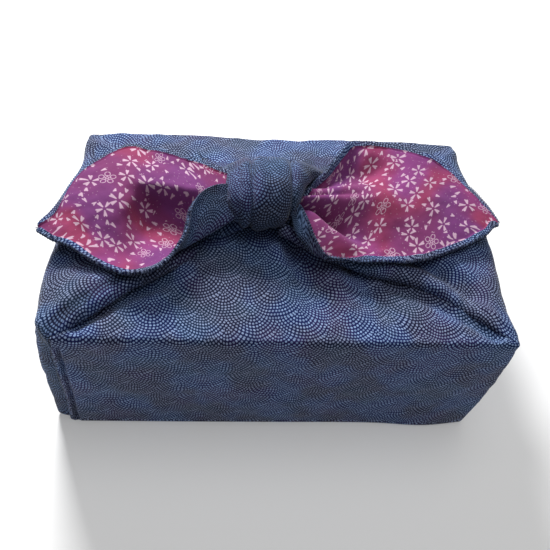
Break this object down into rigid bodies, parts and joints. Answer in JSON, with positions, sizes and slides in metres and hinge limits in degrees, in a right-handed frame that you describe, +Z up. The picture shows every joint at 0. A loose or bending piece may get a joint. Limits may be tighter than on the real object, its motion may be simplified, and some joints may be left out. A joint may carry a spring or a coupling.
{
  "type": "tied furoshiki wrapping cloth",
  "caption": "Square wrapping cloth folded round a boxy parcel and tied on top, its free ends lying open as two leaves.",
  "frame": {"origin": "on the floor, under the middle of the tied cloth's bounding box", "axes": "+X along the parcel's length towards the free end on the viewer's right, +Y towards the back, +Z up"},
  "size_m": [0.2558, 0.1584, 0.1324],
  "materials": {
    "dotted_cotton": "matt printed cotton, pale dots in overlapping fans on navy",
    "blossom_cotton": "matt printed cotton, pale blossoms on plum"
  },
  "bodies": {
    "root": {"furoshiki_cloth": "dotted_cotton"}
  },
  "joints": []
}
